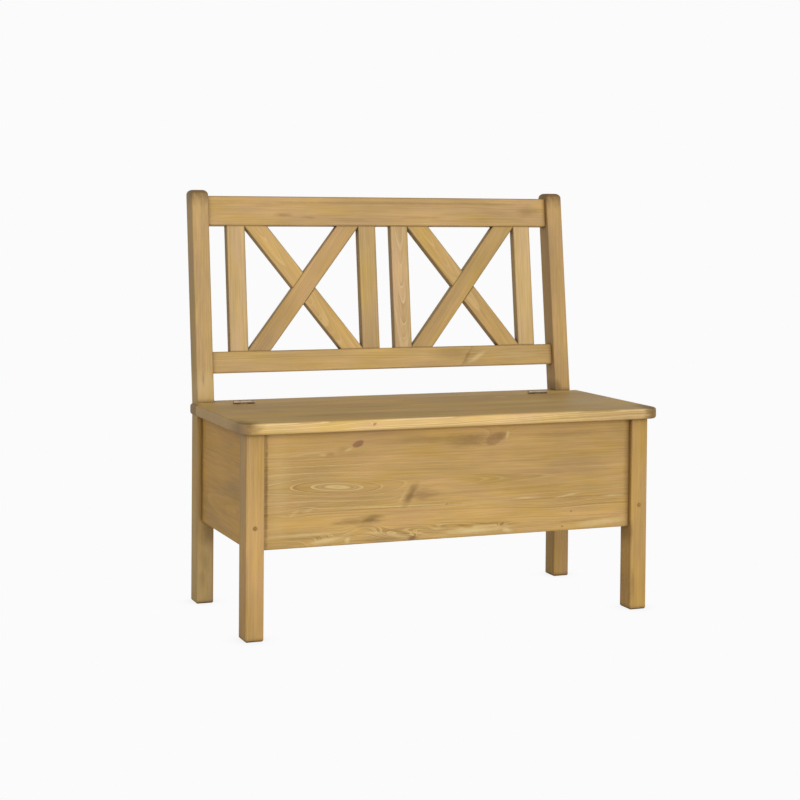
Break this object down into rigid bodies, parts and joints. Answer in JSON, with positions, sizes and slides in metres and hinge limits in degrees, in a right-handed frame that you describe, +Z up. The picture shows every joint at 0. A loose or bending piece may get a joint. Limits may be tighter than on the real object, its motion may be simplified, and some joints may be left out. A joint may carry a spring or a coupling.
{
  "type": "storage bench",
  "caption": "Pine storage bench: a chest on legs under a hinged seat lid, with a leaning back that holds half-lapped crosses between slats.",
  "frame": {"origin": "on the floor, under the middle of the bounding box", "axes": "+X along the bench's width, to the right of a person who faces its front; the front faces -Y; +Z up"},
  "size_m": [1, 0.53, 0.96],
  "materials": {
    "pine_frame": "waxed antique pine, satin",
    "pine_panel": "waxed antique pine boards, satin",
    "pine_seat": "waxed antique pine boards, satin sheen",
    "pine_inner": "plain planed pine",
    "dowel_wood": "end grain, waxed",
    "hinge_steel": "dull nickelled steel",
    "pin_steel": "plain steel"
  },
  "bodies": {
    "frame": {"back_panel": "pine_panel", "bottom_rail": "pine_frame", "chest_floor": "pine_inner", "cross_falling_left": "pine_frame", "cross_falling_right": "pine_frame", "cross_rising_left": "pine_frame", "cross_rising_right": "pine_frame", "end_panel_left": "pine_panel", "end_panel_right": "pine_panel", "floor_bearer_front": "pine_inner", "floor_bearer_rear": "pine_inner", "front_leg_left": "pine_frame", "front_leg_right": "pine_frame", "front_panel": "pine_panel", "hinge_leaf_fixed_left": "hinge_steel", "hinge_leaf_fixed_right": "hinge_steel", "hinge_pin_left": "pin_steel", "hinge_pin_right": "pin_steel", "leg_plugs": "dowel_wood", "rear_board_cleat": "pine_inner", "rear_post_left": "pine_frame", "rear_post_right": "pine_frame", "seat_rear_board": "pine_seat", "slat_inner_left": "pine_frame", "slat_inner_right": "pine_frame", "slat_outer_left": "pine_frame", "slat_outer_right": "pine_frame", "top_rail": "pine_frame"},
    "lid": {"lid_panel": "pine_seat", "lid_batten_left": "pine_inner", "lid_batten_right": "pine_inner", "hinge_leaf_lid_left": "hinge_steel", "hinge_leaf_lid_right": "hinge_steel"}
  },
  "joints": [
    {"name": "lid_hinge", "type": "hinge", "parent": "frame", "child": "lid", "pos_m": [0, 0.10236, 0.4722], "axis": [-1, 0, 0], "range_deg": [0, 106]}
  ]
}
